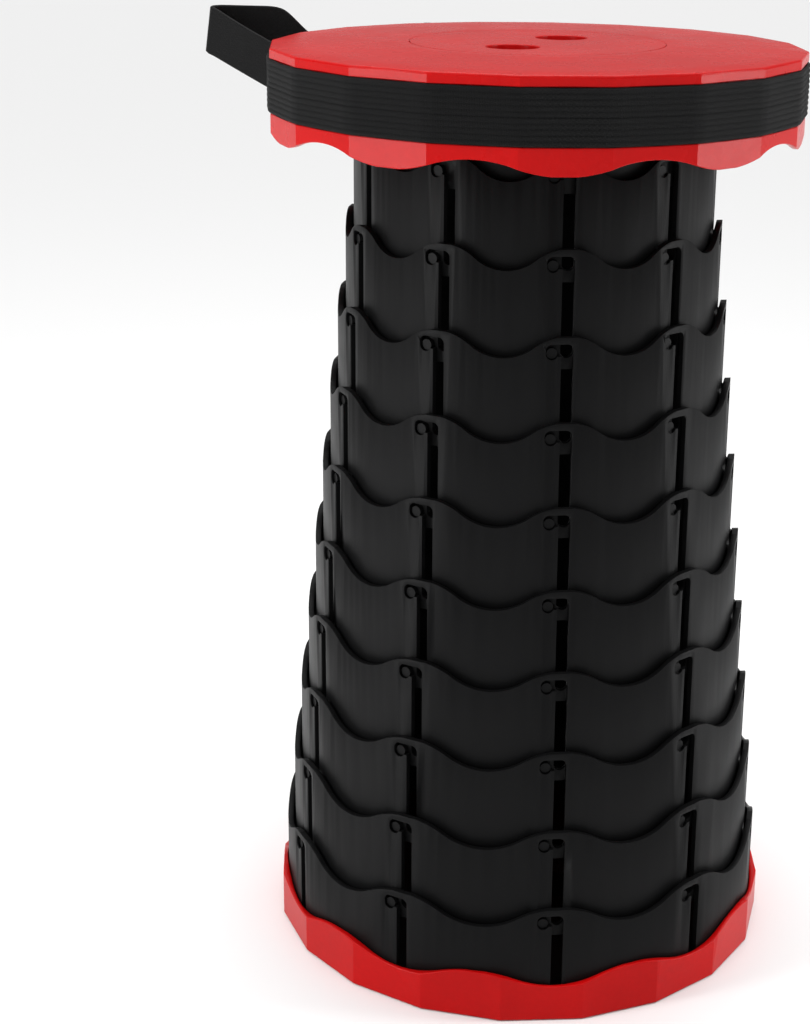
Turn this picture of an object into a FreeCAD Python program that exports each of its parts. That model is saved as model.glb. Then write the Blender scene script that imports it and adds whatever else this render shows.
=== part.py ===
import FreeCAD, Part
import math
import os
import Sketcher
from FreeCAD import Placement, Rotation, Vector

# Telescopic stool: a round seat and a round base joined by nested rings with wavy tops.
# Each ring carries pins that seat in the hooked slots of the next larger ring.
# Millimetres, +Z up, origin on the ground at the stool's axis, pins of the first column at -Y.

LOBES = 10
FACETS = 2 * LOBES
LAST_RING = 10
HALF_LOBE = 180.0 / LOBES
HALF_FACET = 180.0 / FACETS

SIZES = {
    # Seat and base
    "open_height": 450.0,
    "crown_rise": 1.5,
    "rim_flat_radius": 126.0,
    "rim_rounding": 1.2,
    "plate_thickness": 3.6,
    "flange_height": 4.9,
    "skirt_drop": 12.4,
    "skirt_wave": 6.4,
    "base_floor": 3.5,
    "base_rim_height": 24.5,
    "base_wave": 6.5,
    "base_relief": 0.8,
    "foot_width": 12.0,
    "rib_depth": 10.0,
    "rib_wall": 2.2,
    # Telescopic rings
    "ring_radius": 83.2,
    "ring_step": 4.03,
    "ring_wall": 2.8,
    "ring_height": 54.5,
    "ring_wave": 10.0,
    "ring_pitch": 39.0,
    "wave_trim": 0.3,
    "pin_diameter": 5.0,
    "pin_height": 8.0,
    "pin_reach": 1.5,
    "hook_offset": 7.0,
    "hook_drop": 1.6,
    "clearance": 0.3,
    # Centre caps with finger cups
    "cap_radius": 60.5,
    "cap_thickness": 1.8,
    "cap_ledge": 6.0,
    "cap_wall": 2.0,
    "finger_diameter": 25.0,
    "finger_spacing": 54.0,
    "finger_depth": 14.0,
    "finger_rounding": 0.8,
    "finger_angle": 59.0,
    # Webbing belt and handle
    "belt_width": 24.8,
    "belt_thickness": 3.0,
    "channel_depth": 0.7,
    "belt_play": 0.1,
    "belt_end": 1.5,
    "handle_angle": -121.5,
    "handle_half_spread": 16.0,
    "handle_thickness": 2.2,
    "handle_width": 23.5,
    "handle_tab": 17.0,
    "handle_leg_angle": 73.0,
    "handle_bend": 5.0,
    "handle_flare": 10.0,
    "handle_rise": 15.5,
    "handle_far_run": 24.0,
    "rivet_diameter": 8.0,
    "rivet_height": 1.8,
    "rivet_rounding": 1.2,
    "rivet_spacing": 12.0,
    # Cam buckle
    "buckle_angle": -160.0,
    "buckle_length": 34.0,
    "buckle_plate": 1.6,
    "buckle_height": 31.0,
    "buckle_cheek": 1.6,
    "cheek_front": 15.0,
    "cheek_back": 11.0,
    "cheek_rounding": 5.0,
    "cover_rounding": 7.5,
    "cover_gap": 1.2,
    "hinge_pin_diameter": 3.0,
    "hinge_play": 0.05,
    "pin_head_diameter": 5.0,
    "pin_head_height": 1.0,
    "lever_barrel": 8.0,
    "lever_length": 27.0,
    "lever_thickness": 2.4,
    "lever_rounding": 13.0,
}

doc = FreeCAD.newDocument("telescopic_stool")
sheet = doc.addObject("Spreadsheet::Sheet", "sizes")


class Formula:
    """A number together with the sheet expression that gives it."""

    def __init__(self, value, text):
        self.value = value
        self.text = text

    def join(self, sign, other, value):
        return Formula(value, f"({self.text} {sign} {as_formula(other).text})")

    def __add__(self, other):
        return self.join("+", other, self.value + as_formula(other).value)

    def __sub__(self, other):
        return self.join("-", other, self.value - as_formula(other).value)

    def __mul__(self, other):
        return self.join("*", other, self.value * as_formula(other).value)

    def __truediv__(self, other):
        return self.join("/", other, self.value / as_formula(other).value)

    def __neg__(self):
        return Formula(-self.value, f"(0 - {self.text})")


def as_formula(item):
    if isinstance(item, Formula):
        return item
    return Formula(float(item), repr(float(item)))


def root(formula):
    return Formula(math.sqrt(formula.value), f"sqrt({formula.text})")


def sine(degrees):
    return Formula(math.sin(math.radians(degrees.value)), f"sin({degrees.text} * 1 deg)")


def cosine(degrees):
    return Formula(math.cos(math.radians(degrees.value)), f"cos({degrees.text} * 1 deg)")


def arc_sine(ratio):
    return Formula(math.degrees(math.asin(ratio.value)), f"(asin({ratio.text}) / 1 deg)")


def fill_sheet():
    for row, (name, value) in enumerate(SIZES.items(), start=1):
        sheet.set(f"A{row}", name)
        sheet.set(f"B{row}", str(value))
        sheet.setAlias(f"B{row}", name)
    doc.recompute()


def size(name):
    return Formula(float(sheet.get(name)), f"sizes.{name}")


def bind(item, path, formula):
    item.setExpression(path, as_formula(formula).text)


def origin_feature(body, role):
    return next(item for item in body.Origin.OriginFeatures if item.Role == role)


def new_body(label):
    body = doc.addObject("PartDesign::Body", label)
    body.Label = label
    return body


def place(body, height, turn=None):
    """Lift a body to a height and turn it about the stool's axis."""
    if turn is not None:
        body.Placement = Placement(Vector(0, 0, 0), Rotation(Vector(0, 0, 1), turn.value))
        bind(body, "Placement.Rotation.Angle", turn)
    bind(body, "Placement.Base.z", height)


def new_sketch(body, plane, name, turn=None, offset=None):
    """A sketch on an origin plane; an upright one can turn about the axis and move outwards."""
    sketch = body.newObject("Sketcher::SketchObject", name)
    sketch.AttachmentSupport = [(origin_feature(body, plane), "")]
    sketch.MapMode = "FlatFace"
    if turn is not None:
        sketch.AttachmentOffset = Placement(Vector(0, 0, 0), Rotation(Vector(0, 1, 0), turn.value))
        bind(sketch, "AttachmentOffset.Rotation.Angle", turn)
    if offset is not None:
        bind(sketch, "AttachmentOffset.Base.z", offset)
    return sketch


def fix_coordinate(sketch, kind, edge, end, formula):
    """Hold one coordinate of an edge's end at its distance from the sketch's origin."""
    if formula.value == 0.0:
        axis = -2 if kind == "DistanceX" else -1
        sketch.addConstraint(Sketcher.Constraint("PointOnObject", edge, end, axis))
        return
    if formula.value > 0.0:
        row = sketch.addConstraint(Sketcher.Constraint(kind, -1, 1, edge, end, formula.value))
        bind(sketch, f"Constraints[{row}]", formula)
        return
    row = sketch.addConstraint(Sketcher.Constraint(kind, edge, end, -1, 1, -formula.value))
    bind(sketch, f"Constraints[{row}]", -formula)


def arc_between(start, finish, radius, turn):
    """The short arc from start to finish; turn is +1 for anticlockwise and -1 for clockwise."""
    chord = finish - start
    left = Vector(-chord.y, chord.x, 0).normalize()
    height = math.sqrt(max(radius ** 2 - (chord.Length / 2) ** 2, 0.0))
    centre = (start + finish) / 2 + left * (height * turn)
    first, last = (start, finish) if turn > 0 else (finish, start)
    circle = Part.Circle(centre, Vector(0, 0, 1), radius)
    return Part.ArcOfCircle(
        circle,
        math.atan2(first.y - centre.y, first.x - centre.x),
        math.atan2(last.y - centre.y, last.x - centre.x),
    )


def draw(sketch, points, arcs=None, closed=True):
    """Draw an outline through points; arcs maps an edge's number to its radius and turn."""
    arcs = arcs or {}
    points = [(as_formula(x), as_formula(y)) for x, y in points]
    corners = [Vector(x.value, y.value, 0) for x, y in points]
    edges = len(points) if closed else len(points) - 1
    ends = []
    for number in range(edges):
        start, finish = corners[number], corners[(number + 1) % len(points)]
        if number in arcs:
            radius, turn = arcs[number]
            edge = sketch.addGeometry(arc_between(start, finish, radius.value, turn))
            row = sketch.addConstraint(Sketcher.Constraint("Radius", edge, radius.value))
            bind(sketch, f"Constraints[{row}]", radius)
            ends.append((edge, 1, 2) if turn > 0 else (edge, 2, 1))
        else:
            edge = sketch.addGeometry(Part.LineSegment(start, finish))
            ends.append((edge, 1, 2))
    for number, (x, y) in enumerate(points):
        edge, end = ends[number][:2] if number < edges else (ends[-1][0], ends[-1][2])
        fix_coordinate(sketch, "DistanceX", edge, end, x)
        fix_coordinate(sketch, "DistanceY", edge, end, y)
    for number in range(edges if closed else edges - 1):
        edge, _, finish = ends[number]
        follower, start, _ = ends[(number + 1) % edges]
        sketch.addConstraint(Sketcher.Constraint("Coincident", edge, finish, follower, start))


def draw_box(sketch, low, high):
    draw(sketch, [(low[0], low[1]), (high[0], low[1]), (high[0], high[1]), (low[0], high[1])])


def draw_circle(sketch, radius, x=0.0, y=0.0):
    x, y = as_formula(x), as_formula(y)
    circle = Part.Circle(Vector(x.value, y.value, 0), Vector(0, 0, 1), radius.value)
    edge = sketch.addGeometry(circle)
    row = sketch.addConstraint(Sketcher.Constraint("Radius", edge, radius.value))
    bind(sketch, f"Constraints[{row}]", radius)
    fix_coordinate(sketch, "DistanceX", edge, 3, x)
    fix_coordinate(sketch, "DistanceY", edge, 3, y)


def draw_wave(sketch, half_width, crest, depth, side):
    """One valley between two crests, made of equal arcs; side is +1 for a top edge, -1 for a lower edge."""
    radius = (half_width * half_width + depth * depth) / (depth * 4)
    middle = crest - depth * (side / 2)
    margin = crest + depth * side
    half = half_width / 2
    draw(
        sketch,
        [(-half_width, crest), (-half, middle), (half, middle), (half_width, crest),
         (half_width, margin), (-half_width, margin)],
        {0: (radius, -side), 1: (radius, side), 2: (radius, -side)},
    )


def pad(body, name, sketch, length, reverse=False, middle=False):
    feature = body.newObject("PartDesign::Pad", name)
    feature.Profile = sketch
    bind(feature, "Length", length)
    feature.Reversed = reverse
    feature.Midplane = middle
    return feature


def pocket(body, name, sketch, length=None, reverse=False, middle=False):
    """Cut a profile to a length, or right through the body where no length is given."""
    feature = body.newObject("PartDesign::Pocket", name)
    feature.Profile = sketch
    feature.Reversed = reverse
    feature.Midplane = middle
    if length is None:
        feature.Type = "ThroughAll"
    else:
        bind(feature, "Length", length)
    return feature


def turned(body, kind, name, sketch):
    """A Revolution or a Groove about the stool's axis."""
    feature = body.newObject(f"PartDesign::{kind}", name)
    feature.Profile = sketch
    feature.ReferenceAxis = (sketch, ["V_Axis"])
    feature.Angle = 360.0
    return feature


def around(body, name, originals, count):
    feature = body.newObject("PartDesign::PolarPattern", name)
    feature.Originals = originals
    feature.Axis = (origin_feature(body, "Z_Axis"), [""])
    feature.Angle = 360.0
    feature.Occurrences = count
    body.Tip = feature
    return feature


def rounded(body, name, base, wanted, radius):
    """Round the edges of a feature that the test picks out."""
    doc.recompute()
    names = [f"Edge{i}" for i, edge in enumerate(base.Shape.Edges, start=1) if wanted(edge)]
    feature = body.newObject("PartDesign::Fillet", name)
    feature.Base = (base, names)
    bind(feature, "Radius", radius)
    return feature


def ring_outer(index):
    return size("ring_radius") + size("ring_step") * index


def ring_bottom(index):
    return size("base_floor") + size("ring_pitch") * (LAST_RING - index)


def relief_depth():
    """Depth of the relief in a ring's inner face that the smaller ring's pin runs in."""
    return size("pin_reach") + size("clearance")


def slot_turn(index):
    """How far a ring's slots lie round from its pins, in degrees."""
    return arc_sine(size("hook_offset") / ring_outer(index))


def rim_corner_radius():
    return size("rim_flat_radius") / math.cos(math.radians(HALF_FACET))


def bore_radius():
    return ring_outer(LAST_RING) + size("clearance")


def channel_radius():
    return size("rim_flat_radius") - size("channel_depth")


def belt_outer():
    return channel_radius() + size("belt_play") + size("belt_thickness")


def channel_height():
    return size("belt_width") + size("belt_play") * 2


def belt_middle():
    return size("open_height") - size("flange_height") - channel_height() / 2


def cap_opening():
    return size("cap_radius") - size("cap_ledge")


def facet_rim(body, depth, reverse):
    """A disc whose rim is cut into equal flats, one of them facing -Y."""
    disc = new_sketch(body, "XY_Plane", "rim_outline")
    draw_circle(disc, rim_corner_radius())
    pad(body, "rim_disc", disc, depth, reverse=reverse)
    flat = new_sketch(body, "XY_Plane", "rim_flat_outline")
    flat_half = rim_corner_radius() * (1.1 * math.sin(math.radians(HALF_FACET)))
    draw_box(flat, (-flat_half, -rim_corner_radius() * 1.1), (flat_half, -size("rim_flat_radius")))
    cut = pocket(body, "rim_flat", flat, reverse=not reverse)
    return around(body, "rim_flats", [cut], FACETS)


def slot_points(pin_seat):
    """Outline of a slot with a hook at its upper left, where the pin of the smaller ring seats."""
    half = size("pin_diameter") / 2 + size("clearance")
    offset = size("hook_offset")
    foot = size("pin_height") - half
    top = pin_seat + size("hook_drop") + half
    tooth = top - half * 2
    tooth_x = root(half * half - (pin_seat - tooth) * (pin_seat - tooth))
    points = [
        (offset, foot), (offset + half, foot + half), (offset + half, top - half), (offset, top),
        (as_formula(0.0), top), (-half, top - half), (-half, pin_seat), (as_formula(0.0), pin_seat - half),
        (tooth_x, tooth), (offset - half, tooth), (offset - half, foot + half),
    ]
    arcs = {number: (half, 1) for number in (0, 2, 4, 6, 7, 10)}
    return points, arcs


def add_hook_slots(body, index):
    """Through slots with hooks, and the shallow relief behind each hook that the pin runs in."""
    outer = ring_outer(index)
    pin_seat = size("pin_height") + size("ring_pitch")
    slot = new_sketch(body, "XZ_Plane", "slot_outline")
    draw(slot, *slot_points(pin_seat))
    slot_cut = pocket(body, "slot", slot, reverse=True)
    half = size("pin_diameter") / 2 + size("clearance")
    relief = new_sketch(body, "XZ_Plane", "relief_outline")
    draw_box(relief, (-half, size("pin_height") - half), (half, pin_seat))
    depth = outer - size("ring_wall") + relief_depth()
    return [slot_cut, pocket(body, "relief", relief, length=depth, reverse=True)]


def add_wave(body, index):
    """The valley between two crests of a ring's top edge; the crests stand over the slots."""
    outer = ring_outer(index)
    trim = size("wave_trim")
    valley = new_sketch(body, "XZ_Plane", "wave_outline", turn=slot_turn(index) + HALF_LOBE)
    half_width = outer * math.sin(math.radians(HALF_LOBE))
    draw_wave(valley, half_width, size("ring_height") + trim, size("ring_wave") + trim, 1)
    return pocket(body, "wave", valley, reverse=True)


def add_pin(body, index):
    """A round pin that reaches through the gap into the wall of the next larger ring."""
    half_skin = (size("ring_wall") - relief_depth()) / 2
    pin = new_sketch(body, "XZ_Plane", "pin_outline", offset=ring_outer(index) - half_skin)
    draw_circle(pin, size("pin_diameter") / 2, y=size("pin_height"))
    reach = half_skin + size("ring_step") - size("ring_wall") + size("pin_reach")
    return pad(body, "pin", pin, reach)


def make_ring(index, label):
    body = new_body(label)
    outer = ring_outer(index)
    wall = new_sketch(body, "XY_Plane", "wall_outline")
    draw_circle(wall, outer)
    draw_circle(wall, outer - size("ring_wall"))
    under_plate = size("open_height") - size("plate_thickness") - ring_bottom(0)
    height = size("ring_height") if index else under_plate
    pad(body, "wall", wall, height)
    repeated = []
    if index:
        repeated.append(add_wave(body, index))
        repeated.extend(add_hook_slots(body, index))
    if index < LAST_RING:
        repeated.append(add_pin(body, index))
    around(body, "columns", repeated, LOBES)
    place(body, ring_bottom(index))
    return body


def make_seat_shell():
    body = new_body("seat_shell")
    crown = size("crown_rise")
    flange_foot = crown + size("flange_height")
    channel_foot = flange_foot + channel_height()
    depth = channel_foot + size("skirt_drop")
    corner = rim_corner_radius()
    beyond = corner + crown
    facet_rim(body, depth, reverse=True)
    slope_start = size("cap_radius") + size("cap_ledge")
    slope = crown / (size("rim_flat_radius") - slope_start)
    top = new_sketch(body, "XZ_Plane", "crown_outline")
    draw(top, [(slope_start, 0), (beyond, -(beyond - slope_start) * slope), (beyond, crown), (slope_start, crown)])
    crowned = turned(body, "Groove", "crown", top)
    edge_height = -crown.value * 1.2
    rim = rounded(
        body, "rim_rounding", crowned,
        lambda edge: edge.BoundBox.ZMin > edge_height and edge.BoundBox.Center.Length > slope_start.value * 1.5
        and edge.BoundBox.ZMax < edge_height / 2,
        size("rim_rounding"),
    )
    body.Tip = rim
    channel = new_sketch(body, "XZ_Plane", "channel_outline")
    draw_box(channel, (channel_radius(), -channel_foot), (beyond, -flange_foot))
    turned(body, "Groove", "belt_channel", channel)
    under_plate = -(crown + size("plate_thickness"))
    cavity = new_sketch(body, "XZ_Plane", "cavity_outline")
    draw_box(cavity, (0, -(depth + crown)), (bore_radius(), under_plate))
    turned(body, "Groove", "cavity", cavity)
    opening = new_sketch(body, "XZ_Plane", "cap_seat_outline")
    seat_radius = size("cap_radius") + size("clearance")
    draw(opening, [(0, crown), (seat_radius, crown), (seat_radius, -size("cap_thickness")),
                   (cap_opening(), -size("cap_thickness")), (cap_opening(), under_plate * 2), (0, under_plate * 2)])
    turned(body, "Groove", "cap_seat", opening)
    rib = new_sketch(body, "XZ_Plane", "rib_outline")
    rib_outer = ring_outer(0) - size("ring_wall") - size("clearance")
    draw_box(rib, (rib_outer - size("rib_wall"), under_plate - size("rib_depth")), (rib_outer, under_plate / 2))
    turned(body, "Revolution", "ring_rib", rib)
    notch = new_sketch(body, "XZ_Plane", "skirt_wave_outline", turn=as_formula(HALF_LOBE))
    trim = size("wave_trim")
    half_width = corner * math.sin(math.radians(HALF_LOBE))
    draw_wave(notch, half_width, -(depth + trim), size("skirt_wave") + trim, -1)
    around(body, "skirt_waves", [pocket(body, "skirt_wave", notch, reverse=True)], LOBES)
    place(body, size("open_height") + crown)
    return body


def make_base_tray():
    body = new_body("base_tray")
    rim = size("base_rim_height")
    floor = size("base_floor")
    facet_rim(body, rim, reverse=False)
    bore = new_sketch(body, "XZ_Plane", "bore_outline")
    draw_box(bore, (0, floor), (bore_radius(), rim * 2))
    turned(body, "Groove", "bore", bore)
    opening = new_sketch(body, "XZ_Plane", "cap_seat_outline")
    seat_radius = size("cap_radius") + size("clearance")
    ledge = size("cap_thickness")
    draw(opening, [(0, -floor), (seat_radius, -floor), (seat_radius, ledge), (cap_opening(), ledge),
                   (cap_opening(), floor * 2), (0, floor * 2)])
    turned(body, "Groove", "cap_seat", opening)
    relief = new_sketch(body, "XZ_Plane", "underside_outline")
    draw_box(relief, (seat_radius + size("cap_ledge"), -floor),
             (size("rim_flat_radius") - size("foot_width"), size("base_relief")))
    turned(body, "Groove", "underside_relief", relief)
    low = new_sketch(body, "XZ_Plane", "rim_wave_outline", turn=slot_turn(LAST_RING))
    trim = size("wave_trim")
    half_width = rim_corner_radius() * math.sin(math.radians(HALF_LOBE))
    draw_wave(low, half_width, rim + trim, size("base_wave") + trim, 1)
    around(body, "rim_waves", [pocket(body, "rim_wave", low, reverse=True)], LOBES)
    return body


def make_cap(label):
    """A round cap with a snap wall below and two blind finger cups in its face."""
    body = new_body(label)
    thickness = size("cap_thickness")
    wall_outer = cap_opening() - size("clearance")
    disc = new_sketch(body, "XZ_Plane", "cap_profile")
    wall_foot = -(thickness + size("plate_thickness") + size("crown_rise"))
    wall_inner = wall_outer - size("cap_wall")
    draw(disc, [(0, 0), (size("cap_radius"), 0), (size("cap_radius"), -thickness), (wall_outer, -thickness),
                (wall_outer, wall_foot), (wall_inner, wall_foot), (wall_inner, -thickness), (0, -thickness)])
    turned(body, "Revolution", "cap_disc", disc)
    cup_radius = size("finger_diameter") / 2
    half_spacing = size("finger_spacing") / 2
    sides = (half_spacing, -half_spacing)
    cups = new_sketch(body, "XY_Plane", "cup_outline")
    for x in sides:
        draw_circle(cups, cup_radius + size("cap_wall"), x=x)
    pad(body, "finger_cups", cups, size("finger_depth") + size("cap_wall"), reverse=True)
    hollows = new_sketch(body, "XY_Plane", "hollow_outline")
    for x in sides:
        draw_circle(hollows, cup_radius, x=x)
    cut = pocket(body, "finger_hollows", hollows, length=size("finger_depth"))
    mouth = rounded(
        body, "finger_rounding", cut,
        lambda edge: abs(edge.BoundBox.ZMax) < 0.01 and edge.BoundBox.XLength < size("cap_radius").value,
        size("finger_rounding"),
    )
    body.Tip = mouth
    return body


def make_caps():
    seat_cap = make_cap("seat_centre_cap")
    place(seat_cap, size("open_height") + size("crown_rise"), turn=size("finger_angle"))
    base_cap = make_cap("base_centre_cap")
    base_cap.Placement = Placement(Vector(0, 0, 0), Rotation(Vector(1, 0, 0), 180))
    return [seat_cap, base_cap]


def handle_tab_radius():
    """Distance from the stool's axis to the middle of a handle tab, which lies flat on the belt."""
    return belt_outer() + size("clearance") + size("handle_thickness") / 2


def make_belt():
    """A band round the seat, open between the handle's two ends, which are riveted to its own."""
    body = new_body("belt_webbing")
    inner = channel_radius() + size("belt_play")
    half = size("belt_width") / 2
    profile = new_sketch(body, "XZ_Plane", "belt_profile")
    draw_box(profile, (inner, -half), (inner + size("belt_thickness"), half))
    band = turned(body, "Revolution", "belt", profile)
    band.Midplane = True
    end_reach = size("handle_tab") / 2 + size("belt_end")
    half_gap = size("handle_half_spread") - arc_sine(end_reach / handle_tab_radius())
    bind(band, "Angle", as_formula(360.0) - half_gap * 2)
    place(body, belt_middle(), turn=size("handle_angle") + 90.0)
    return body


def handle_path():
    """Half the handle seen from above: outer bend, leg, flare and the tab that lies on the belt."""
    spread = size("handle_half_spread")
    leg = size("handle_leg_angle")
    bend = size("handle_bend")
    flare = size("handle_flare")
    half_tab = size("handle_tab") / 2
    tab_x = handle_tab_radius() * sine(spread)
    tab_y = -handle_tab_radius() * cosine(spread)
    along_x, along_y = cosine(spread), sine(spread)
    flare_x = tab_x - half_tab * along_x
    flare_y = tab_y - half_tab * along_y
    centre_x = flare_x + flare * along_y
    centre_y = flare_y - flare * along_x
    leg_x = centre_x - flare * sine(leg)
    leg_y = centre_y + flare * cosine(leg)
    bend_y = leg_y + (bend - sine(leg) * leg_x) / cosine(leg)
    points = [
        (as_formula(0.0), bend_y - bend),
        (bend * sine(leg), bend_y - bend * cosine(leg)),
        (leg_x, leg_y),
        (flare_x, flare_y),
        (tab_x + half_tab * along_x, tab_y + half_tab * along_y),
    ]
    return points, {0: (bend, 1), 2: (flare, -1)}


def leg_slope(apex, far_leg):
    """How a handle leg climbs from the belt to the outer bend; the far leg climbs early, in two equal arcs."""
    rise = size("handle_rise")
    start = -(belt_outer() + size("handle_thickness") * 2)
    finish = apex - size("handle_thickness")
    level = as_formula(0.0)
    if not far_leg:
        return [(start, level), (apex + size("handle_thickness"), rise), (finish, rise)], {}
    run = size("handle_far_run")
    radius = (run * run + rise * rise) / (rise * 4)
    points = [(start, level), (start - run / 2, rise / 2), (start - run, rise), (finish, rise)]
    return points, {0: (radius, -1), 1: (radius, 1)}


def trim_leg(body, name, apex, far_leg):
    """Cut the lower and upper edges of one handle leg to its climb."""
    slope, arcs = leg_slope(apex, far_leg)
    start, finish = slope[0][0], slope[-1][0]
    half_width = size("handle_width") / 2
    under, over = -size("handle_width"), size("handle_width") + size("handle_rise")
    inside = start / 2
    edges = new_sketch(body, "YZ_Plane", f"{name}_outline")
    draw(edges, [(y, z - half_width) for y, z in slope] + [(finish, under), (start, under)], arcs)
    draw(
        edges,
        [(y, z + half_width) for y, z in slope] + [(finish, over), (inside, over), (inside, half_width)],
        arcs,
    )
    return pocket(body, name, edges, reverse=not far_leg)


def make_handle():
    body = new_body("handle_webbing")
    points, arcs = handle_path()
    path = new_sketch(body, "XY_Plane", "handle_path")
    draw(path, points, arcs, closed=False)
    half_width = size("handle_width") / 2
    half_thickness = size("handle_thickness") / 2
    apex = points[0][1]
    strip = new_sketch(body, "YZ_Plane", "handle_section")
    crest = half_width + size("handle_rise")
    draw_box(strip, (apex - half_thickness, -half_width), (apex + half_thickness, crest))
    sweep = body.newObject("PartDesign::AdditivePipe", "handle_half")
    sweep.Profile = strip
    sweep.Spine = (path, [])
    mirrored = body.newObject("PartDesign::Mirrored", "handle_strip")
    mirrored.Originals = [sweep]
    mirrored.MirrorPlane = (origin_feature(body, "YZ_Plane"), [""])
    body.Tip = mirrored
    trim_leg(body, "near_leg_trim", apex, far_leg=False)
    trim_leg(body, "far_leg_trim", apex, far_leg=True)
    place(body, belt_middle(), turn=size("handle_angle"))
    return body


def make_rivet(number, side, level):
    """One domed rivet head on the outer face of a handle tab."""
    angle = size("handle_angle") + size("handle_half_spread") * side
    radius = handle_tab_radius() + size("handle_thickness") / 2
    head = doc.addObject("Part::Cylinder", f"rivet_head_{number}")
    bind(head, "Radius", size("rivet_diameter") / 2)
    bind(head, "Height", size("rivet_height"))
    outward = Rotation(Vector(0, 0, 1), angle.value) * Rotation(Vector(1, 0, 0), 90)
    head.Placement = Placement(Vector(0, 0, 0), outward)
    bind(head, "Placement.Base.x", radius * sine(angle))
    bind(head, "Placement.Base.y", -radius * cosine(angle))
    bind(head, "Placement.Base.z", belt_middle() + size("rivet_spacing") * (level / 2))
    doc.recompute()
    outer_edge = max(
        range(1, len(head.Shape.Edges) + 1),
        key=lambda i: head.Shape.Edges[i - 1].CenterOfMass.sub(Vector(0, 0, belt_middle().value)).Length,
    )
    dome = doc.addObject("Part::Fillet", f"rivet_{number}")
    dome.Base = head
    rounding = size("rivet_rounding").value
    dome.Edges = [(outer_edge, rounding, rounding)]
    return dome


def make_rivets():
    rivets = doc.addObject("Part::Compound", "handle_rivets")
    rivets.Label = "handle_rivets"
    places = [(side, level) for side in (-1, 1) for level in (-1, 1)]
    rivets.Links = [make_rivet(number, *spot) for number, spot in enumerate(places, start=1)]
    return rivets


def buckle_face():
    """Radius of the buckle plate's inner face, which lies on the belt."""
    return belt_outer() + size("clearance")


def hinge_radius():
    """Distance of the buckle's hinge pin from the stool's axis."""
    return buckle_face() + size("buckle_plate") + size("clearance") + size("lever_barrel") / 2


def cheek_gap():
    return size("buckle_height") - size("buckle_cheek") * 2


def add_hinge_hole(body):
    hole = new_sketch(body, "XY_Plane", "hinge_hole_outline")
    draw_circle(hole, size("hinge_pin_diameter") / 2 + size("hinge_play"), y=-hinge_radius())
    return pocket(body, "hinge_hole", hole, middle=True)


def make_buckle_frame():
    """A plate on the belt, two cheeks for the hinge pin, and a rounded cover between them beside the lever."""
    body = new_body("buckle_frame")
    half_length = size("buckle_length") / 2
    front, back = size("cheek_front"), size("cheek_back")
    rounding, cover, wall = size("cheek_rounding"), size("cover_rounding"), size("buckle_plate")
    inner = -buckle_face()
    plate = inner - wall
    outer = -(hinge_radius() + size("lever_barrel") / 2)
    block = new_sketch(body, "XY_Plane", "frame_outline")
    draw(
        block,
        [(-half_length, inner), (-half_length, plate), (-back, plate), (-back, outer + rounding),
         (rounding - back, outer), (front - cover, outer), (front, outer + cover),
         (front, plate), (half_length, plate), (half_length, inner)],
        {3: (rounding, 1), 5: (cover, 1)},
    )
    pad(body, "frame_block", block, size("buckle_height"), middle=True)
    between = new_sketch(body, "XY_Plane", "gap_outline")
    beyond = outer - rounding
    cover_edge = size("lever_barrel") / 2 + size("cover_gap")
    draw(
        between,
        [(-half_length, plate), (front - wall, plate), (front - wall, outer + cover), (front - cover, outer + wall),
         (cover_edge, outer + wall), (cover_edge, beyond), (-half_length, beyond)],
        {2: (cover - wall, -1)},
    )
    pocket(body, "cheek_gap", between, length=cheek_gap(), middle=True)
    add_hinge_hole(body)
    place(body, belt_middle(), turn=size("buckle_angle"))
    return body


def make_buckle_lever():
    """The cam lever: a round barrel on the hinge pin and a tongue that lies along the belt."""
    body = new_body("buckle_lever")
    barrel = size("lever_barrel") / 2
    width = cheek_gap() - size("clearance") * 2
    axis_y = -hinge_radius()
    round_part = new_sketch(body, "XY_Plane", "barrel_outline")
    draw_circle(round_part, barrel, y=axis_y)
    pad(body, "barrel", round_part, width, middle=True)
    tongue = new_sketch(body, "XY_Plane", "tongue_outline")
    outer = axis_y - barrel
    tip = -size("lever_length")
    draw_box(tongue, (tip, outer), (0, outer + size("lever_thickness")))
    flat = pad(body, "tongue", tongue, width, middle=True)
    end = rounded(
        body, "tongue_end", flat,
        lambda edge: edge.BoundBox.XMax < tip.value + 0.01 and edge.BoundBox.ZLength < 0.01,
        size("lever_rounding"),
    )
    body.Tip = end
    add_hinge_hole(body)
    place(body, belt_middle(), turn=size("buckle_angle"))
    return body


def make_buckle_pin():
    """The hinge pin with a flat head outside each cheek."""
    body = new_body("buckle_pin")
    half = size("buckle_height") / 2
    shank = new_sketch(body, "XY_Plane", "shank_outline")
    draw_circle(shank, size("hinge_pin_diameter") / 2, y=-hinge_radius())
    pad(body, "shank", shank, size("buckle_height"), middle=True)
    for name, reverse in (("upper_head", False), ("lower_head", True)):
        head = body.newObject("Sketcher::SketchObject", f"{name}_outline")
        head.AttachmentSupport = [(origin_feature(body, "XY_Plane"), "")]
        head.MapMode = "FlatFace"
        bind(head, "AttachmentOffset.Base.z", -half if reverse else half)
        draw_circle(head, size("pin_head_diameter") / 2, y=-hinge_radius())
        pad(body, name, head, size("pin_head_height"), reverse=reverse)
    place(body, belt_middle(), turn=size("buckle_angle"))
    return body


def make_parts():
    parts = [make_seat_shell(), make_base_tray()]
    parts.extend(make_caps())
    parts.append(make_ring(0, "seat_ring"))
    parts.extend(make_ring(index, f"ring_{index:02d}") for index in range(1, LAST_RING))
    parts.append(make_ring(LAST_RING, "base_ring"))
    parts.append(make_belt())
    parts.append(make_handle())
    parts.append(make_rivets())
    parts.extend([make_buckle_frame(), make_buckle_lever(), make_buckle_pin()])
    return parts


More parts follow.
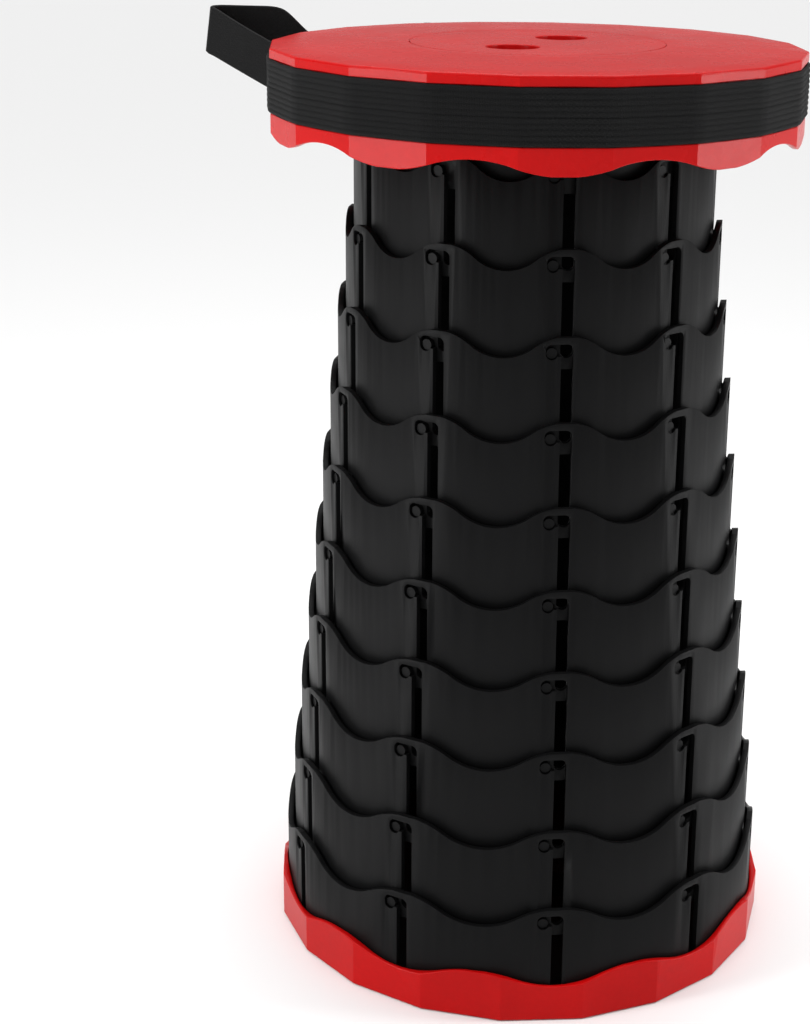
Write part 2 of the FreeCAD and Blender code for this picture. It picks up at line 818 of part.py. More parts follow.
def check_features():
    """Every object is sound, and every cut takes material away."""
    for item in doc.Objects:
        if "Invalid" in item.State or "Error" in item.State:
            raise RuntimeError(f"{item.Name} did not build: {item.getStatusString()}")
        if item.TypeId in ("PartDesign::Pocket", "PartDesign::Groove"):
            if item.Shape.Volume >= item.BaseFeature.Shape.Volume:
                raise RuntimeError(f"{item.Name} cuts nothing")


def write_parts(parts):
    for part in parts:
        shape = part.Shape
        if shape.isNull() or not shape.isValid():
            raise RuntimeError(f"{part.Label} has no valid shape")
    os.makedirs("parts", exist_ok=True)
    for part in parts:
        part.Shape.exportStep(f"parts/{part.Label}.step")
        print(part.Label, "solids", len(part.Shape.Solids), "volume", round(part.Shape.Volume, 1))


fill_sheet()
stool_parts = make_parts()
doc.recompute()
check_features()
write_parts(stool_parts)
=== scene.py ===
import math

import bmesh
import bpy
from mathutils import Matrix, Vector


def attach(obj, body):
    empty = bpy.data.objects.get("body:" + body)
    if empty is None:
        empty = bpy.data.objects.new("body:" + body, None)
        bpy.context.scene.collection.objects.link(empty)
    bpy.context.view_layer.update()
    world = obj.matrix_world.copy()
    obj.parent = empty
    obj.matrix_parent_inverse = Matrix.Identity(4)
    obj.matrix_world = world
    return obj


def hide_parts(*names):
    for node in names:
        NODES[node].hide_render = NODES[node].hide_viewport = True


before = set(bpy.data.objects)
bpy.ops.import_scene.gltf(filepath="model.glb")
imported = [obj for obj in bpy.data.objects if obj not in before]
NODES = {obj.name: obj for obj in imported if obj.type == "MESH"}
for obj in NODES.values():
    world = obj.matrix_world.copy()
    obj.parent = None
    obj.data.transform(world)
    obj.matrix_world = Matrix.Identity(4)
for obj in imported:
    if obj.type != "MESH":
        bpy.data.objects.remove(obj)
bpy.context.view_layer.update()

MM = 0.001

# Belt and its stitches, in millimetres and degrees; its flats follow the seat's rim
BELT_MIDDLE = 432.6
BELT_INNER, BELT_OUTER, BELT_HALF = 125.45, 128.4, 12.4
BELT_EDGE, BELT_RIBS, RIB_DEPTH, RIB_POWER = 1.2, 10, 0.6, 0.5
FACET, BELT_FLAT = 18.0, 127.2
BELT_ROUND_FROM, BELT_ROUND_HALF = -140.0, 45.0
BELT_END, BELT_STEPS = 1.5, 600
STITCH_ANGLES, STITCH_REACH, STITCH_GAPS = (-145.0, -150.0), 9.8, 7
STITCH_HALF, STITCH_PROUD = (0.42, 0.42, 1.15), 0.05

# Handle: a strap with two tabs on the belt, two legs and a crease that leans inwards
STRAP_HALF, STRAP_THICKNESS, STRAP_EDGE = 11.75, 2.2, 1.0
STRAP_PLAY, STRAP_END_SHARE = 0.3, 0.6
HANDLE_ANGLE, HANDLE_SPREAD, HANDLE_TAB = -121.5, 16.0, 17.0
HANDLE_LEG, HANDLE_BEND, HANDLE_FLARE = 73.0, 5.0, 10.0
HANDLE_RISE, HANDLE_RUN = 15.5, 24.0
HANDLE_LEAN, LEAN_MIDDLE = 5.5, 0.65
BEND_STEPS, LEG_STEPS, FLARE_STEPS, TAB_STEPS, LIFT_NEIGHBOURS = 14, 26, 12, 10, 3
TAB_RADIUS = BELT_OUTER + STRAP_PLAY + STRAP_THICKNESS / 2
HANDLE_START = -(BELT_OUTER + 2 * STRAP_THICKNESS)
BELT_GAP = HANDLE_SPREAD - math.degrees(math.asin((HANDLE_TAB / 2 + BELT_END) / TAB_RADIUS))

# Buckle lever: a fluted barrel round the hinge pin and a flat tongue
BUCKLE_ANGLE, HINGE_RADIUS, LEVER_HALF = -160.0, 134.6, 13.6
BARREL_RADIUS, BARREL_BORE, BARREL_RIM = 4.0, 1.56, 0.5
BARREL_COLUMNS, FLUTES, FLUTE_DEPTH = 168, 14, 0.4
TONGUE_LENGTH, TONGUE_THICKNESS, TONGUE_ROUNDING = 27.0, 2.4, 13.0
TONGUE_ROOT, TONGUE_EDGE, TONGUE_BEND, TONGUE_TIP_SHARE = 1.5, 0.9, 1.4, 0.2
TONGUE_STEPS, TIP_STEPS = 10, 24

# A strap's cross-section: steps up its outer face, and places down its inner one, from 1 to -1
OUTER_STEPS = 96
INNER_PLACES = (1.0, 0.99, 0.96, 0.91, 0.0, -0.91, -0.96, -0.99, -1.0)

# The base's inside, which painted shade darkens, and how far a normal looks up or inwards there
CUP_SIDE, CUP_REACH, BASE_FLOOR, BASE_BORE = 27.0, 13.5, 1.7, 123.6
LOOKS_UP, LOOKS_IN = 0.3, 0.8

# Rounding of a node's sharp edges, in millimetres and degrees
WELD_REACH, SHARP_ANGLE, ROUNDING_SEGMENTS = 0.001, 40.0, 2

# Noises in materials, as pairs of scale per metre and detail, and depths of bump in millimetres
SPECKLE, DRIFT, SMEAR, PORES = (420.0, 3.0), (14.0, 4.0), (60.0, 5.0), (1600.0, 2.0)
PATCHES, SCUFFS = (260.0, 4.0), (900.0, 6.0)
WORN_SPOTS, FUZZ = (30.0, 4.0), (2400.0, 3.0)
PORE_DEPTH, SCUFF_DEPTH, WEAVE_DEPTH = 0.4, 0.1, 0.4
SCUFF_STRENGTH, WEAVE_STRENGTH = 0.02, 0.7

# Shares of noise in tones and bumps, and how far roughness strays
SPECKLE_SHARE, WORN_SHARE, WEAVE_SHARE, FUZZ_SHARE = 0.35, 0.6, 0.7, 0.35
SMEAR_STRAY, SCUFF_POLISH, SCUFF_DULL = 0.06, 0.08, 0.14
WEBBING_ROUGHNESS, FLOOR_ROUGHNESS, FLOOR_GLOSS = 0.7, 0.7, 0.2

# Camera, fitted to the photo: pixels of its picture, then millimetres and degrees
PICTURE_HEIGHT, FOCAL_LENGTH, SHIFT_RIGHT, SHIFT_UP = 1024.0, 1965.0, -56.86, -33.5
SENSOR_HEIGHT = 36.0
CAMERA_REACH, CAMERA_ANGLE, CAMERA_HEIGHT = 949.4, -5.9, 541.07
CAMERA_TURN, CAMERA_TILT, CAMERA_ROLL = 2.0, 17.945, 0.747

# Studio: floor, softbox sizes and targets in metres, softbox places in millimetres and degrees
FLOOR_HALF, FLOOR_DROP = 60.0, 0.0005
# Painted shade on the floor: its grey fades from near to far between these distances in metres
FADE_START, FADE_END, FLOOR_NEAR, FLOOR_FAR = 7.0, 30.0, 0.8, 0.66
SKY_LEVELS, SKY_STRENGTH = ((0.02, 0.46), (0.11, 0.13), (0.42, 0.20), (0.78, 1.0)), 1.6
STRIP_REACH, STRIP_HEIGHT, STRIP_SIZE = 807.0, 420.0, (0.13, 0.84)
STRIPS = {"left_strip": (-65.5, 12.5), "right_strip": (77.0, 11.0)}
TOP_PLACE, TOP_SIZE, TOP_RADIANCE = (300.0, 175.0, 1500.0), (0.9, 0.9), 2.8
STOOL_MIDDLE, STOOL_TOP = (0.0, 0.0, 0.3), (0.0, 0.0, 0.45)


def turned(x, y, z, degrees):
    """A point in millimetres, turned about the stool's axis, in metres."""
    angle = math.radians(degrees)
    cosine, sine = math.cos(angle), math.sin(angle)
    return Vector((x * cosine - y * sine, x * sine + y * cosine, z)) * MM


def polar(radius, degrees, height):
    """A point at a radius, an angle from -Y about the stool's axis and a height, in metres."""
    return turned(0.0, -radius, height, degrees)


def steps(start, finish, count):
    return [start + (finish - start) * i / count for i in range(count + 1)]


def limited(value):
    return min(max(value, 0.0), 1.0)


def grey(level):
    return (level, level, level)


def shade(colour, factor):
    return tuple(min(channel * factor, 1.0) for channel in colour)


def set_ramp(node, stops):
    """Give a colour ramp its stops, as pairs of position and colour."""
    elements = node.color_ramp.elements
    while len(elements) < len(stops):
        elements.new(0.5)
    for element, (position, colour) in zip(elements, stops):
        element.position = position
        element.color = (*colour, 1.0)


class Shader:
    """A procedural material: a Principled shader with nodes added to it."""

    def __init__(self, name, colour, roughness, **sockets):
        self.material = bpy.data.materials.new(name)
        self.material.use_nodes = True
        self.nodes = self.material.node_tree.nodes
        self.links = self.material.node_tree.links
        self.surface = self.nodes["Principled BSDF"]
        self.surface.inputs["Base Color"].default_value = (*colour, 1.0)
        self.surface.inputs["Roughness"].default_value = roughness
        for socket, value in sockets.items():
            self.surface.inputs[socket.replace("_", " ")].default_value = value

    def add(self, kind, **settings):
        node = self.nodes.new(kind)
        for name, value in settings.items():
            if name in node.inputs:
                node.inputs[name].default_value = value
            else:
                setattr(node, name, value)
        return node

    def link(self, source, target):
        self.links.new(source, target)

    def connect(self, node, sources):
        """Link sources to a node's inputs in turn, and set those that are plain values."""
        for socket, source in zip(node.inputs, sources):
            if isinstance(source, (float, tuple)):
                socket.default_value = source
            else:
                self.link(source, socket)

    def coordinates(self, output="Object", scale=(1.0, 1.0, 1.0)):
        mapping = self.add("ShaderNodeMapping", Scale=scale)
        self.link(self.add("ShaderNodeTexCoord").outputs[output], mapping.inputs["Vector"])
        return mapping.outputs["Vector"]

    def noise(self, scale, detail):
        node = self.add("ShaderNodeTexNoise", Scale=scale, Detail=detail)
        self.link(self.coordinates(), node.inputs["Vector"])
        return node.outputs["Fac"]

    def ramp(self, source, stops):
        node = self.add("ShaderNodeValToRGB")
        set_ramp(node, stops)
        self.link(source, node.inputs["Fac"])
        return node.outputs["Color"]

    def spread(self, source, low, high, source_low=0.0, source_high=1.0):
        node = self.add("ShaderNodeMapRange")
        levels = {"From Min": source_low, "From Max": source_high, "To Min": low, "To Max": high}
        for name, value in levels.items():
            node.inputs[name].default_value = value
        self.link(source, node.inputs["Value"])
        return node.outputs["Result"]

    def maths(self, operation, *sources):
        node = self.add("ShaderNodeMath", operation=operation)
        self.connect(node, sources)
        return node.outputs["Value"]

    def vector(self, operation, *sources):
        node = self.add("ShaderNodeVectorMath", operation=operation)
        self.connect(node, sources)
        return node.outputs["Value" if operation in ("LENGTH", "DOT_PRODUCT") else "Vector"]

    def height(self, source):
        split = self.add("ShaderNodeSeparateXYZ")
        self.link(source, split.inputs["Vector"])
        return split.outputs["Z"]

    def free_of_painted_shade(self, radius):
        """1 on the base's outside and in its finger cups, and 0 behind and under the rings, where shade is
        painted.
        """
        place, normal = self.coordinates(), self.coordinates("Normal")
        flat = self.vector("MULTIPLY", place, (1.0, 1.0, 0.0))
        from_cup = self.vector("SUBTRACT", self.vector("ABSOLUTE", flat), (CUP_SIDE * MM, 0.0, 0.0))
        in_cup = self.maths("LESS_THAN", self.vector("LENGTH", from_cup), CUP_REACH * MM)
        low = self.maths("LESS_THAN", self.height(place), BASE_FLOOR * MM)
        not_up = self.maths("LESS_THAN", self.height(normal), LOOKS_UP)
        under = self.maths("MINIMUM", not_up, self.maths("MAXIMUM", in_cup, low))
        outwards = self.vector("DOT_PRODUCT", flat, normal)
        not_in = self.maths("GREATER_THAN", outwards, -LOOKS_IN * radius * MM)
        beyond = self.maths("GREATER_THAN", self.vector("LENGTH", flat), radius * MM)
        return self.maths("MAXIMUM", under, self.maths("MINIMUM", not_in, beyond))

    def colour(self, source):
        self.link(source, self.surface.inputs["Base Color"])

    def roughness(self, source):
        self.link(source, self.surface.inputs["Roughness"])

    def bump(self, source, strength, depth):
        node = self.add("ShaderNodeBump", Strength=strength, Distance=depth * MM)
        self.link(source, node.inputs["Height"])
        self.link(node.outputs["Normal"], self.surface.inputs["Normal"])


def moulded_plastic(name, colour, roughness, gloss, grain, inside=None):
    """Moulded plastic with grain, drifts of shade and uneven gloss; inside is the radius of a bore in
    painted shade.
    """
    shader = Shader(name, colour, roughness, Specular_IOR_Level=gloss)
    tone = shader.maths("MULTIPLY_ADD", shader.noise(*SPECKLE), SPECKLE_SHARE, shader.noise(*DRIFT))
    if inside:
        # Painted shade: behind and under the rings the tone drops to 0, the near-black end of the ramp
        tone = shader.maths("MULTIPLY", tone, shader.free_of_painted_shade(inside))
    painted_shade, dark, light = (shade(colour, factor) for factor in (0.01, 0.86, 1.10))
    shader.colour(shader.ramp(tone, [(0.0, painted_shade), (0.05, dark), (0.5, dark), (1.0, light)]))
    smear = shader.noise(*SMEAR)
    shader.roughness(shader.spread(smear, roughness - SMEAR_STRAY, roughness + SMEAR_STRAY))
    shader.bump(shader.noise(*PORES), grain, PORE_DEPTH)
    return shader.material


def metal(name, colour, roughness):
    """Plated metal with faint scuffs."""
    shader = Shader(name, colour, roughness, Metallic=1.0)
    dark, light = (shade(colour, factor) for factor in (0.92, 1.04))
    shader.colour(shader.ramp(shader.noise(*PATCHES), [(0.35, dark), (0.65, light)]))
    scuffs = shader.noise(*SCUFFS)
    shader.roughness(shader.spread(scuffs, roughness - SCUFF_POLISH, roughness + SCUFF_DULL))
    shader.bump(scuffs, SCUFF_STRENGTH, SCUFF_DEPTH)
    return shader.material


def woven(shader, along, across):
    """Heights of a plain weave of threads counted per metre along and across a strap."""
    threads = shader.coordinates("UV", (along, across, 1.0))
    over = shader.add("ShaderNodeTexChecker", Scale=1.0)
    shader.link(threads, over.inputs["Vector"])
    mix = shader.add("ShaderNodeMix", data_type="FLOAT")
    shader.link(over.outputs["Fac"], mix.inputs["Factor"])
    for direction, socket in (("Y", "A"), ("X", "B")):
        thread = shader.add("ShaderNodeTexWave", bands_direction=direction, Scale=0.5)
        shader.link(threads, thread.inputs["Vector"])
        shader.link(thread.outputs["Fac"], mix.inputs[socket])
    return mix.outputs["Result"]


def webbing(name, colour, along, across):
    """Woven webbing with fuzz and worn spots."""
    shader = Shader(name, colour, WEBBING_ROUGHNESS, Specular_IOR_Level=0.12, Sheen_Weight=0.02,
                    Sheen_Roughness=0.5)
    cloth = woven(shader, along, across)
    dark, light = (shade(colour, factor) for factor in (0.6, 1.3))
    raised = shader.maths("MULTIPLY", cloth, WEAVE_SHARE)
    tone = shader.maths("MULTIPLY_ADD", shader.noise(*WORN_SPOTS), WORN_SHARE, raised)
    shader.colour(shader.ramp(tone, [(0.2, dark), (0.95, light)]))
    fuzzy = shader.maths("MULTIPLY_ADD", shader.noise(*FUZZ), FUZZ_SHARE, cloth)
    shader.bump(fuzzy, WEAVE_STRENGTH, WEAVE_DEPTH)
    return shader.material


# Plastics have a colour, roughness, gloss and grain; webbings have a colour and threads per metre
RED = moulded_plastic("red_plastic", (0.47, 0.0026, 0.0028), 0.28, 0.13, 0.08)
# The base's red has painted shade on its inside, behind and under the rings
BASE_RED_PAINTED_SHADE = moulded_plastic("base_red_plastic_painted_shade", (0.45, 0.0024, 0.0026), 0.30, 0.11, 0.08, BASE_BORE)
BLACK = moulded_plastic("black_plastic", (0.0045, 0.0045, 0.0047), 0.44, 0.08, 0.10)
COVER = moulded_plastic("buckle_plastic", (0.014, 0.0145, 0.018), 0.26, 0.55, 0.06)
# Painted reflection: the tongue's light grey stands in for the sheen on the lever's tab
TONGUE = moulded_plastic("lever_plastic", (0.36, 0.37, 0.41), 0.40, 0.40, 0.10)
STEEL = metal("rivet_steel", (0.78, 0.78, 0.79), 0.24)
BELT = webbing("belt_weave", (0.0042, 0.0043, 0.0045), 900.0, 1100.0)
STRAP = webbing("strap_weave", (0.0025, 0.0025, 0.0027), 800.0, 950.0)
THREAD = moulded_plastic("stitch_thread", (0.055, 0.056, 0.062), 0.7, 0.2, 0.2)

# Material and edge rounding in millimetres of each CAD node; every other node is a ring
RING_LOOK = (BLACK, 0.45)
NODE_LOOKS = {
    "seat_shell": (RED, 0.5), "seat_centre_cap": (RED, 0.4),
    "base_tray": (BASE_RED_PAINTED_SHADE, 0.6), "base_centre_cap": (BASE_RED_PAINTED_SHADE, 0.4),
    "handle_rivets": (STEEL, 0.0), "handle_webbing": (STRAP, 0.0), "belt_webbing": (BELT, 0.0),
    "buckle_frame": (COVER, 0.45), "buckle_pin": (STEEL, 0.2), "buckle_lever": (TONGUE, 0.0),
}


def paint(item, material):
    item.data.materials.clear()
    item.data.materials.append(material)


def soften(item, width):
    """Round the sharp edges of a node a little."""
    weld = item.modifiers.new("weld", "WELD")
    weld.merge_threshold = WELD_REACH * MM
    bevel = item.modifiers.new("soft_edges", "BEVEL")
    bevel.width = width * MM
    bevel.segments = ROUNDING_SEGMENTS
    bevel.limit_method = "ANGLE"
    bevel.angle_limit = math.radians(SHARP_ANGLE)
    bevel.harden_normals = True


def finish_nodes():
    """Paint the CAD nodes, and soften the edges of those that have a rounding."""
    for name, item in NODES.items():
        material, width = NODE_LOOKS.get(name, RING_LOOK)
        paint(item, material)
        if width:
            soften(item, width)


def new_object(name, data):
    item = bpy.data.objects.new(name, data)
    bpy.context.scene.collection.objects.link(item)
    return item


def mesh_object(name, mesh):
    """A new object from a mesh under construction, which is freed."""
    data = bpy.data.meshes.new(name)
    mesh.to_mesh(data)
    mesh.free()
    return new_object(name, data)


def new_piece(name, mesh, body, slot, material, *nodes):
    """A finished mesh as a piece that rides on a body and may stand for CAD nodes."""
    bmesh.ops.recalc_face_normals(mesh, faces=mesh.faces)
    item = mesh_object(name, mesh)
    item.data.shade_smooth()
    paint(item, material)
    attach(item, body)
    if nodes:
        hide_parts(*nodes)


def skin(mesh, rows, runs=None, heights=None):
    """Join closed rows of points into a skin with flat ends; runs and heights lay the weave on it."""
    layer = mesh.loops.layers.uv.verify()
    points = [[mesh.verts.new(point) for point in row] for row in rows]
    count = len(rows[0])
    for i in range(len(rows) - 1):
        for j in range(count):
            corners = [(i, j), (i, (j + 1) % count), (i + 1, (j + 1) % count), (i + 1, j)]
            face = mesh.faces.new([points[a][b] for a, b in corners])
            if runs:
                for loop, (a, b) in zip(face.loops, corners):
                    loop[layer].uv = (runs[a] * MM, heights[b] * MM)
    for row in (points[0], points[-1]):
        mesh.faces.new(row)


def strap_section(half_width, thickness, rounding, ribs=0):
    """A strap's cross-section as pairs of offset and height: up the outer face, then down the inner one."""
    def face(place, side):
        edge = (1.0 - abs(place)) * half_width
        inset = rounding - math.sqrt(rounding ** 2 - (rounding - min(edge, rounding)) ** 2)
        return side * (thickness / 2 - inset), place * half_width

    outer = []
    for place in steps(-1.0, 1.0, OUTER_STEPS):
        offset, height = face(place, 1.0)
        rib = abs(math.sin(math.pi * ribs * (place + 1.0) / 2)) ** RIB_POWER if ribs else 1.0
        outer.append((offset - RIB_DEPTH * (1.0 - rib), height))
    return outer + [face(place, -1.0) for place in INNER_PLACES]


def belt_sink(angle):
    """How far the belt is drawn in over a flat of the rim; under the handle and buckle it stays round."""
    off_corner = math.radians((angle + FACET / 2) % FACET - FACET / 2)
    away = abs((angle - BELT_ROUND_FROM + 180.0) % 360.0 - 180.0)
    drawn = limited((away - BELT_ROUND_HALF) / FACET)
    return drawn * max(BELT_OUTER - BELT_FLAT / math.cos(off_corner), 0.0)


def make_belt():
    """The belt: a ribbed band round the seat that is open between the handle's ends."""
    section = strap_section(BELT_HALF, BELT_OUTER - BELT_INNER, BELT_EDGE, BELT_RIBS)
    middle = (BELT_OUTER + BELT_INNER) / 2
    angles = steps(HANDLE_ANGLE + BELT_GAP, HANDLE_ANGLE + 360.0 - BELT_GAP, BELT_STEPS)
    rows = []
    for angle in angles:
        sink = belt_sink(angle)
        rows.append([polar(middle + offset - (sink if offset > 0.0 else 0.0), angle, BELT_MIDDLE + height)
                     for offset, height in section])
    runs = [math.radians(angle) * BELT_OUTER for angle in angles]
    mesh = bmesh.new()
    skin(mesh, rows, runs, [height for _, height in section])
    new_piece("belt_ribbed", mesh, "seat", "black_webbing", BELT, "belt_webbing")


def arc(x, y, radius, angles):
    return [(x + radius * math.sin(angle), y - radius * math.cos(angle)) for angle in angles]


def line(start, finish, count):
    """Points along a straight line, without its first one."""
    shares = steps(0.0, 1.0, count)[1:]
    return [tuple(a + (b - a) * share for a, b in zip(start, finish)) for share in shares]


def handle_half():
    """Half the handle's middle line seen from above, from the outer crease to the end of a tab."""
    spread, leg = math.radians(HANDLE_SPREAD), math.radians(HANDLE_LEG)
    tab_x, tab_y = TAB_RADIUS * math.sin(spread), -TAB_RADIUS * math.cos(spread)
    reach_x, reach_y = math.cos(spread) * HANDLE_TAB / 2, math.sin(spread) * HANDLE_TAB / 2
    centre_x = tab_x - reach_x + HANDLE_FLARE * math.sin(spread)
    centre_y = tab_y - reach_y - HANDLE_FLARE * math.cos(spread)
    leg_x, leg_y = centre_x - HANDLE_FLARE * math.sin(leg), centre_y + HANDLE_FLARE * math.cos(leg)
    bend_y = leg_y + (HANDLE_BEND - math.sin(leg) * leg_x) / math.cos(leg)
    bend = arc(0.0, bend_y, HANDLE_BEND, steps(0.0, leg, BEND_STEPS))
    flare = arc(centre_x, centre_y, -HANDLE_FLARE, steps(leg, spread, FLARE_STEPS))
    leg_line = line(bend[-1], flare[0], LEG_STEPS)[:-1]
    tab_line = line(flare[-1], (tab_x + reach_x, tab_y + reach_y), TAB_STEPS)
    return bend + leg_line + flare + tab_line


def handle_lift(y, crease, far):
    """How far a leg of the handle has climbed above the belt; the far leg climbs early, in two arcs."""
    if not far:
        return HANDLE_RISE * limited((HANDLE_START - y) / (HANDLE_START - crease - STRAP_THICKNESS))
    run = min(max(HANDLE_START - y, 0.0), HANDLE_RUN)
    radius = (HANDLE_RUN ** 2 + HANDLE_RISE ** 2) / (4 * HANDLE_RISE)
    if run <= HANDLE_RUN / 2:
        return radius - math.sqrt(radius ** 2 - run ** 2)
    return HANDLE_RISE - radius + math.sqrt(radius ** 2 - (HANDLE_RUN - run) ** 2)


def handle_path():
    """The handle's middle line from its far end to its near one: x, y, lift and lean of each point."""
    half = handle_half()
    crease = half[0][1]
    route = [(-x, y, handle_lift(y, crease, True)) for x, y in half[:0:-1]]
    route += [(x, y, handle_lift(y, crease, False)) for x, y in half]
    path = []
    for i, (x, y, _) in enumerate(route):
        near = route[max(i - LIFT_NEIGHBOURS, 0):i + LIFT_NEIGHBOURS + 1]
        lift = sum(point[2] for point in near) / len(near)
        lean = HANDLE_LEAN * max((HANDLE_START - y) / (HANDLE_START - crease), 0.0) ** 2
        path.append((x, y, lift, lean))
    return path


def make_handle():
    """The carrying strap: a creased loop whose ends lie flat on the belt."""
    path = handle_path()
    last = len(path) - 1
    section = strap_section(STRAP_HALF, STRAP_THICKNESS, STRAP_EDGE)
    rows, runs, run = [], [], 0.0
    for i, (x, y, lift, lean) in enumerate(path):
        before, after = path[max(i - 1, 0)], path[min(i + 1, last)]
        along = Vector((after[0] - before[0], after[1] - before[1], 0.0)).normalized()
        run += math.hypot(x - before[0], y - before[1])
        runs.append(run)
        share = STRAP_END_SHARE if i in (0, last) else 1.0
        row = []
        for offset, height in section:
            inwards = lean * (LEAN_MIDDLE + (1.0 - LEAN_MIDDLE) * height / STRAP_HALF)
            row.append(turned(x + along.y * offset * share, y - along.x * offset * share + inwards,
                              BELT_MIDDLE + lift + height, HANDLE_ANGLE))
        rows.append(row)
    mesh = bmesh.new()
    skin(mesh, rows, runs, [height for _, height in section])
    new_piece("handle_strap", mesh, "seat", "black_webbing", STRAP, "handle_webbing")


def make_stitches():
    """Two rows of stitches across the belt, between the handle's far end and the buckle."""
    mesh = bmesh.new()
    shape = Matrix.Diagonal([half * MM for half in STITCH_HALF]).to_4x4()
    for angle in STITCH_ANGLES:
        for height in steps(-STITCH_REACH, STITCH_REACH, STITCH_GAPS):
            place = Matrix.Translation(polar(BELT_OUTER + STITCH_PROUD, angle, BELT_MIDDLE + height))
            bmesh.ops.create_icosphere(mesh, subdivisions=2, radius=1.0, matrix=place @ shape)
    new_piece("belt_stitches", mesh, "seat", "black_webbing", THREAD)


def barrel_row(mesh, radius, level):
    """A ring of points round the hinge, drawn in at the flutes outside the bore."""
    row = []
    for angle in steps(0.0, 2 * math.pi, BARREL_COLUMNS)[:-1]:
        flute = 0.5 - 0.5 * math.cos(FLUTES * angle)
        reach = radius - FLUTE_DEPTH * flute ** 2 if radius > BARREL_BORE else radius
        row.append(mesh.verts.new(turned(reach * math.sin(angle), reach * math.cos(angle) - HINGE_RADIUS,
                                         BELT_MIDDLE + level, BUCKLE_ANGLE)))
    return row


def make_barrel():
    """The lever's round barrel, with flutes along it and a bore for the hinge pin."""
    inner, side = BARREL_RADIUS - BARREL_RIM, LEVER_HALF - BARREL_RIM
    outline = [(inner, -LEVER_HALF), (BARREL_RADIUS, -side), (BARREL_RADIUS, side), (inner, LEVER_HALF),
               (BARREL_BORE, LEVER_HALF), (BARREL_BORE, -LEVER_HALF)]
    mesh = bmesh.new()
    rows = [barrel_row(mesh, radius, level) for radius, level in outline]
    for below, above in zip(rows, rows[1:] + rows[:1]):
        for j in range(BARREL_COLUMNS):
            after = (j + 1) % BARREL_COLUMNS
            mesh.faces.new((below[j], below[after], above[after], above[j]))
    new_piece("lever_barrel", mesh, "lever", "buckle_plastic", COVER, "buckle_lever")


def make_tongue():
    """The lever's flat tongue with a rounded end and soft edges, bent a little towards the belt."""
    straight = TONGUE_LENGTH - TONGUE_ROUNDING
    tip_angles = steps(0.0, math.pi / 2, TIP_STEPS)[1:]
    places = steps(TONGUE_ROOT, -straight, TONGUE_STEPS)
    places += [-straight - TONGUE_ROUNDING * math.sin(angle) for angle in tip_angles]
    rows = []
    for x in places:
        past = max(-x - straight, 0.0)
        half = LEVER_HALF - TONGUE_ROUNDING + math.sqrt(TONGUE_ROUNDING ** 2 - past ** 2)
        tip = max(TONGUE_EDGE - (TONGUE_LENGTH + x), 0.0)
        rounded = math.sqrt(TONGUE_EDGE ** 2 - tip ** 2) / TONGUE_EDGE
        share = rounded * (1.0 - TONGUE_TIP_SHARE) + TONGUE_TIP_SHARE
        bend = TONGUE_BEND * (min(x, 0.0) / TONGUE_LENGTH) ** 2
        middle = -HINGE_RADIUS - BARREL_RADIUS + TONGUE_THICKNESS / 2 + bend
        section = strap_section(half, TONGUE_THICKNESS, min(TONGUE_EDGE, half / 2))
        rows.append([turned(x, middle - offset * share, BELT_MIDDLE + height, BUCKLE_ANGLE)
                     for offset, height in section])
    mesh = bmesh.new()
    skin(mesh, rows)
    new_piece("lever_tongue", mesh, "lever", "lever_plastic", TONGUE, "buckle_lever")


def make_camera():
    data = bpy.data.cameras.new("photo_camera")
    data.sensor_fit = "VERTICAL"
    data.sensor_height = SENSOR_HEIGHT
    data.lens = SENSOR_HEIGHT * FOCAL_LENGTH / PICTURE_HEIGHT
    data.shift_x, data.shift_y = SHIFT_RIGHT / PICTURE_HEIGHT, SHIFT_UP / PICTURE_HEIGHT
    camera = new_object("photo_camera", data)
    camera.location = polar(CAMERA_REACH, CAMERA_ANGLE, CAMERA_HEIGHT)
    turns = ((CAMERA_ANGLE + CAMERA_TURN, "Z"), (90.0 - CAMERA_TILT, "X"), (CAMERA_ROLL, "Z"))
    turn, tilt, roll = (Matrix.Rotation(math.radians(degrees), 3, axis) for degrees, axis in turns)
    camera.rotation_euler = (turn @ tilt @ roll).to_euler()
    bpy.context.scene.camera = camera


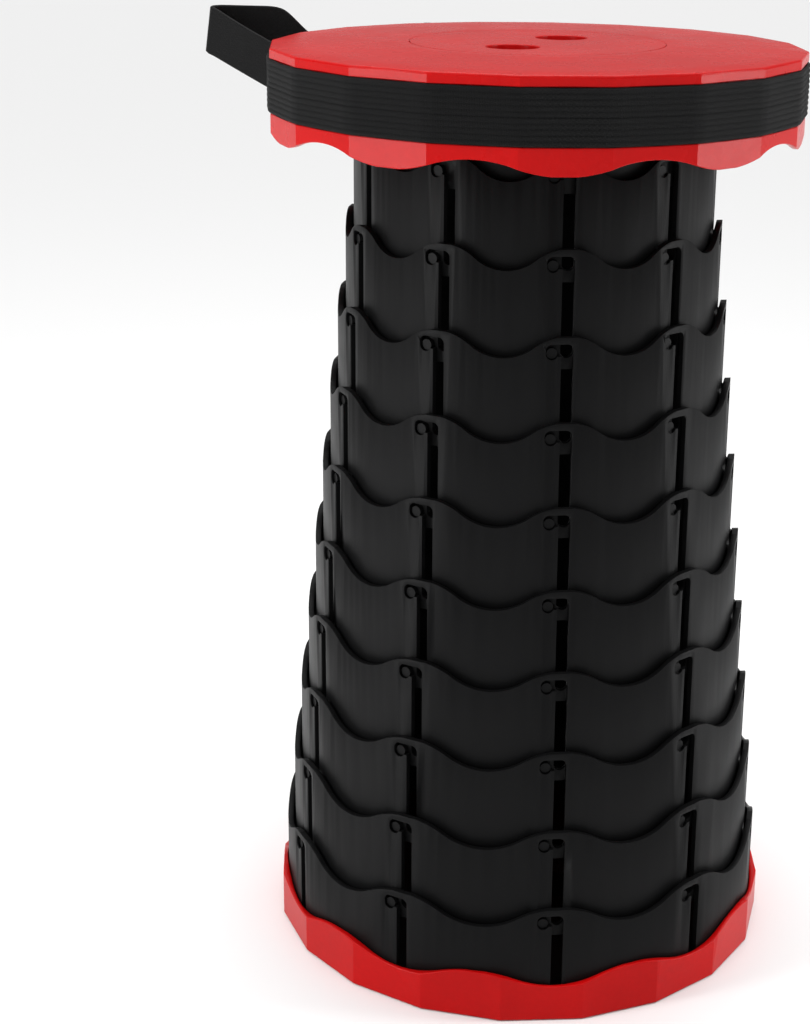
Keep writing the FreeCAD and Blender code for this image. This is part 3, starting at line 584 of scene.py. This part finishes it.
def make_floor():
    """A pale floor with painted shade that darkens it slowly towards the horizon."""
    mesh = bmesh.new()
    bmesh.ops.create_grid(mesh, x_segments=1, y_segments=1, size=FLOOR_HALF)
    floor = mesh_object("floor", mesh)
    floor.location.z = -FLOOR_DROP
    shader = Shader("pale_floor", grey(FLOOR_NEAR), FLOOR_ROUGHNESS, Specular_IOR_Level=FLOOR_GLOSS)
    distance = shader.vector("LENGTH", shader.coordinates())
    far = shader.spread(distance, 0.0, 1.0, FADE_START, FADE_END)
    shader.colour(shader.ramp(far, [(0.0, grey(FLOOR_NEAR)), (1.0, grey(FLOOR_FAR))]))
    paint(floor, shader.material)


def make_sky():
    """Studio walls and ceiling: a pale horizon, a dim band above it and a bright zenith."""
    world = bpy.data.worlds.new("studio")
    bpy.context.scene.world = world
    world.use_nodes = True
    nodes, links = world.node_tree.nodes, world.node_tree.links
    split = nodes.new("ShaderNodeSeparateXYZ")
    links.new(nodes.new("ShaderNodeTexCoord").outputs["Generated"], split.inputs["Vector"])
    ramp = nodes.new("ShaderNodeValToRGB")
    set_ramp(ramp, [(position, grey(level)) for position, level in SKY_LEVELS])
    links.new(split.outputs["Z"], ramp.inputs["Fac"])
    links.new(ramp.outputs["Color"], nodes["Background"].inputs["Color"])
    nodes["Background"].inputs["Strength"].default_value = SKY_STRENGTH


def make_light(name, location, target, size, radiance):
    """A softbox that faces a target; its radiance is what a mirror would show."""
    data = bpy.data.lights.new(name, "AREA")
    data.shape = "RECTANGLE"
    data.size, data.size_y = size
    data.energy = radiance * math.pi * size[0] * size[1]
    light = new_object(name, data)
    light.location = location
    light.rotation_euler = (Vector(target) - location).to_track_quat("-Z", "Y").to_euler()
    light.visible_camera = False


def make_lights():
    """Tall strips that the side facets mirror, and a softbox above and behind."""
    for name, (angle, radiance) in STRIPS.items():
        make_light(name, polar(STRIP_REACH, angle, STRIP_HEIGHT), STOOL_MIDDLE, STRIP_SIZE, radiance)
    make_light("top_softbox", polar(*TOP_PLACE), STOOL_TOP, TOP_SIZE, TOP_RADIANCE)


finish_nodes()
make_belt()
make_handle()
make_stitches()
make_barrel()
make_tongue()
make_camera()
make_floor()
make_sky()
make_lights()
bpy.context.scene.view_settings.view_transform = "Standard"
